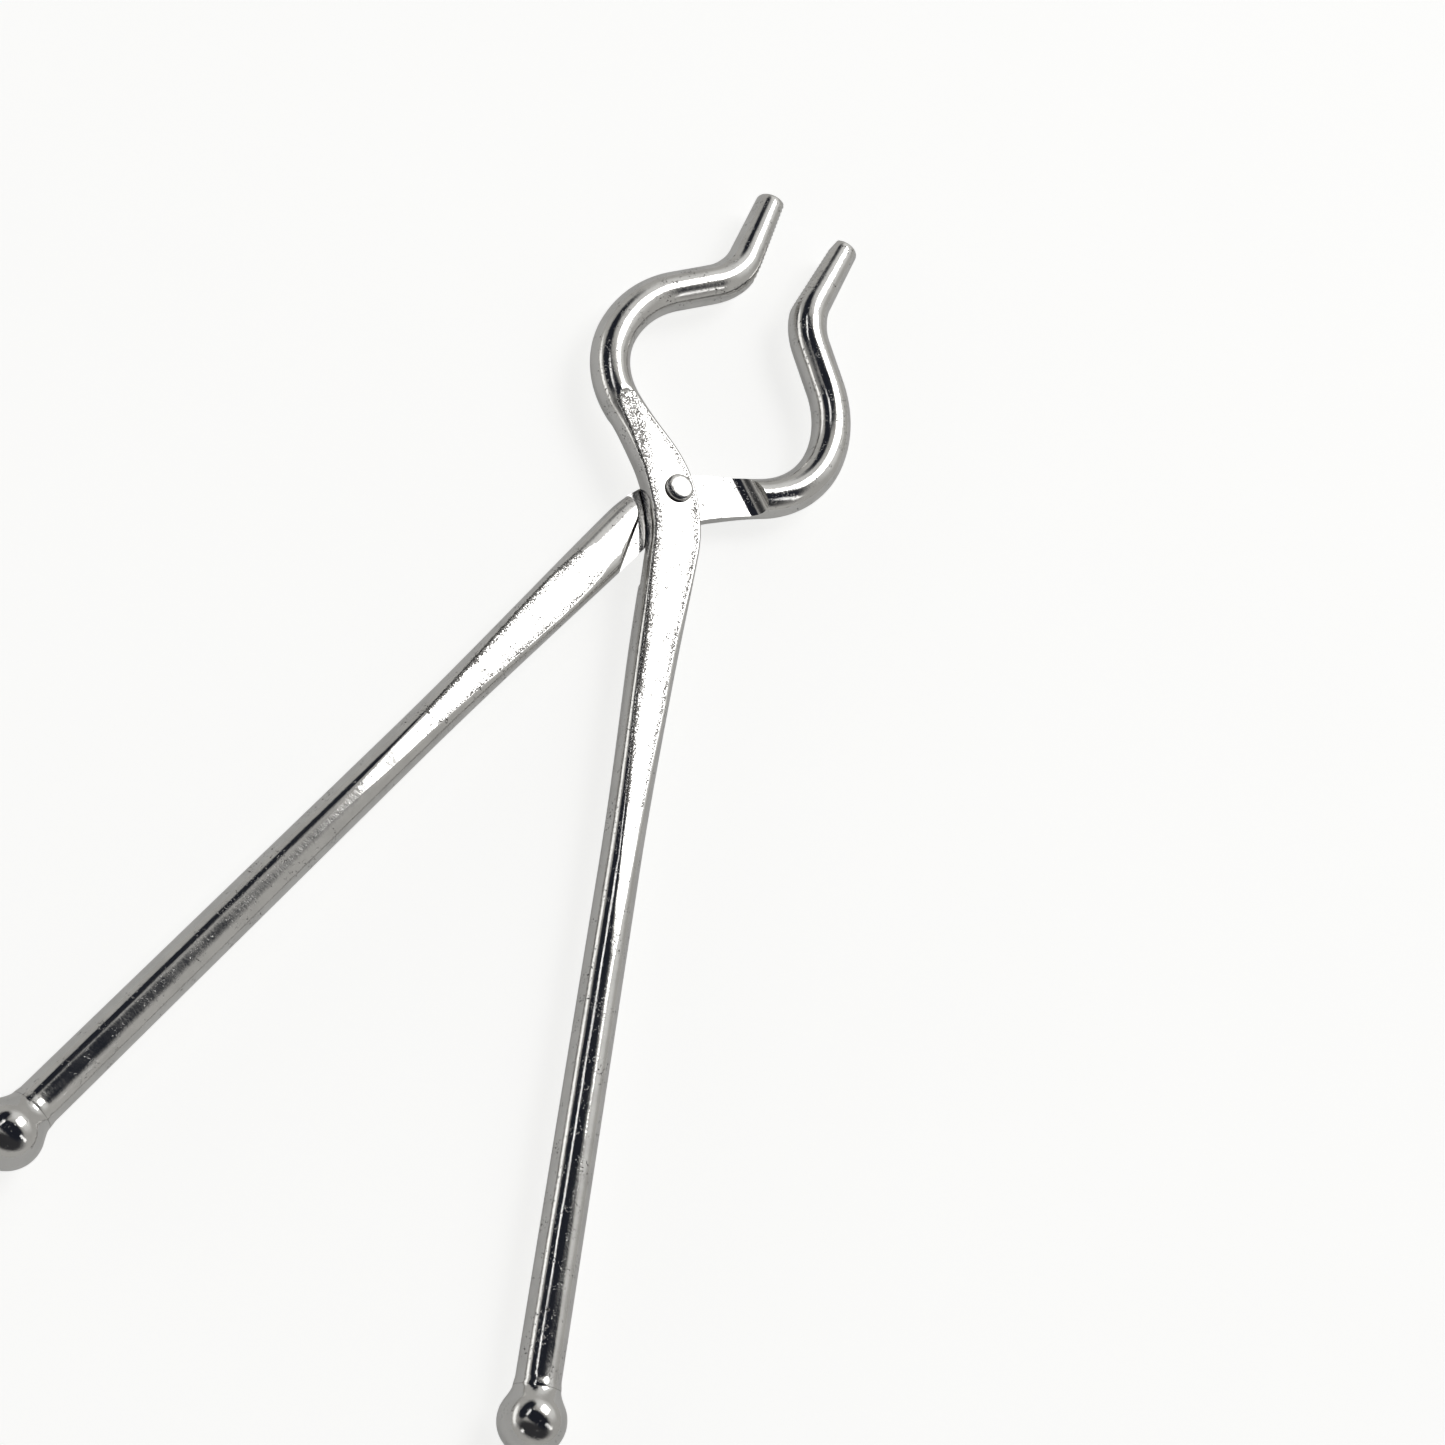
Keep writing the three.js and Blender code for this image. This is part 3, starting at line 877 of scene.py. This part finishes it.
# Soft patches of the room that the steel mirrors: azimuth, elevation, half width and half height in degrees,
# the share of the patch that fades at its rim, and its colour. Later ones lie over earlier ones.
ROOM_PATCHES = {
    "pale wall behind": (163, 42, 48, 24, 0.6, (0.72, 0.72, 0.71)),
    "dim near side": (8, 50, 72, 32, 0.45, DUSK),
    "low bright band at the left": (-80, 12, 38, 8, 0.5, (1.25, 1.25, 1.23)),
    "dark wall at the left": (-110, 41, 42, 19, 0.35, DARK),
    "dark ceiling": (170, 88, 60, 25, 0.35, DARK),
    "high lamp at the left": (-104, 54, 14, 3.5, 0.4, (1.5, 1.5, 1.5)),
    "small near lamp": (-25, 27, 5, 5, 0.4, (2.0, 2.0, 2.0)),
}
# How square a patch's outline is: 2 would be an oval.
PATCH_POWER = 3.0


def room_patch(nodes, view, shade, patch):
    """Mixes one patch over the shade so far."""
    azimuth, elevation, half_width, half_height, rim, colour = patch
    middle = direction(azimuth, elevation)
    sideways = direction(azimuth + 90, 0)
    upward = middle.cross(sideways)
    powers = []
    for axis, half in ((sideways, half_width), (upward, half_height)):
        angle = nodes.maths("ARCTAN2", nodes.dot(view, axis), nodes.dot(view, middle))
        part = nodes.maths("ABSOLUTE", nodes.maths("DIVIDE", angle, half * DEGREE))
        powers.append(nodes.maths("POWER", part, PATCH_POWER))
    distance = nodes.maths("POWER", nodes.maths("ADD", *powers), 1 / PATCH_POWER)
    return nodes.mix(shade, colour, nodes.remap(distance, 1.0, 1.0 - rim, 0.0, 1.0))


def make_world():
    """The room as the steel sees it. Straight past the object there is only the pale backdrop."""
    world = bpy.data.worlds.new("studio")
    world.use_nodes = True
    nodes = Nodes(world.node_tree)
    view = nodes.add("ShaderNodeTexCoord").outputs["Generated"]
    shade = ROOM_LEVEL
    for patch in ROOM_PATCHES.values():
        shade = room_patch(nodes, view, shade, patch)
    straight = nodes.add("ShaderNodeLightPath").outputs["Is Camera Ray"]
    nodes.link(nodes.mix(shade, BACKDROP, straight), world.node_tree.nodes["Background"].inputs["Color"])
    bpy.context.scene.world = world


def make_camera():
    camera = bpy.data.cameras.new("camera")
    camera.lens = LENS
    camera.sensor_width = SENSOR_WIDTH
    camera.clip_start = NEAREST_SEEN
    made = bpy.data.objects.new("camera", camera)
    back = direction(CAMERA_AZIMUTH, CAMERA_ELEVATION)
    made.location = AIM + back * CAMERA_DISTANCE
    made.rotation_mode = "QUATERNION"
    level = back.to_track_quat("Z", "Y")
    made.rotation_quaternion = level @ Matrix.Rotation(CAMERA_ROLL * DEGREE, 3, "Z").to_quaternion()
    bpy.context.scene.collection.objects.link(made)
    bpy.context.scene.camera = made


def finish_piece(piece, body, node, material):
    """Gives a piece its material and its body, and hides the CAD node it stands for."""
    piece.data.materials.clear()
    piece.data.materials.append(material)
    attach(piece, body)
    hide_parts(node)


bpy.context.scene.view_settings.view_transform = "Standard"

arm_steel = polished_steel("arm_steel", (0.80, 0.79, 0.77), 0.06, 0.13, 0.05, 1.0, edge_wear=True)
ball_steel = polished_steel("ball_steel", (0.79, 0.78, 0.76), 0.04, 0.09, 0.02, 0.3)
rivet_steel = polished_steel("rivet_steel", (0.76, 0.75, 0.73), 0.10, 0.2, 0.05, 0.6)

front_arm = make_arm("front_arm_polished")
rear_arm = turn_over(front_arm, "rear_arm_polished")
front_ball = make_ball("front_ball_polished")
rear_ball = turn_over(front_ball, "rear_ball_polished")
rivet = make_rivet("rivet_peened")

finish_piece(front_arm, "front_half", "front_arm", arm_steel)
finish_piece(rear_arm, "rear_half", "rear_arm", arm_steel)
finish_piece(front_ball, "front_half", "front_ball", ball_steel)
finish_piece(rear_ball, "rear_half", "rear_ball", ball_steel)
finish_piece(rivet, "rear_half", "pivot_rivet", rivet_steel)

make_floor()
make_world()
softbox("far_key", 161, 52, 1.6, 0.68, 0.71, 4.6)
softbox("right_fill", 84, 44, 1.8, 0.22, 0.9, 0.7)
make_camera()
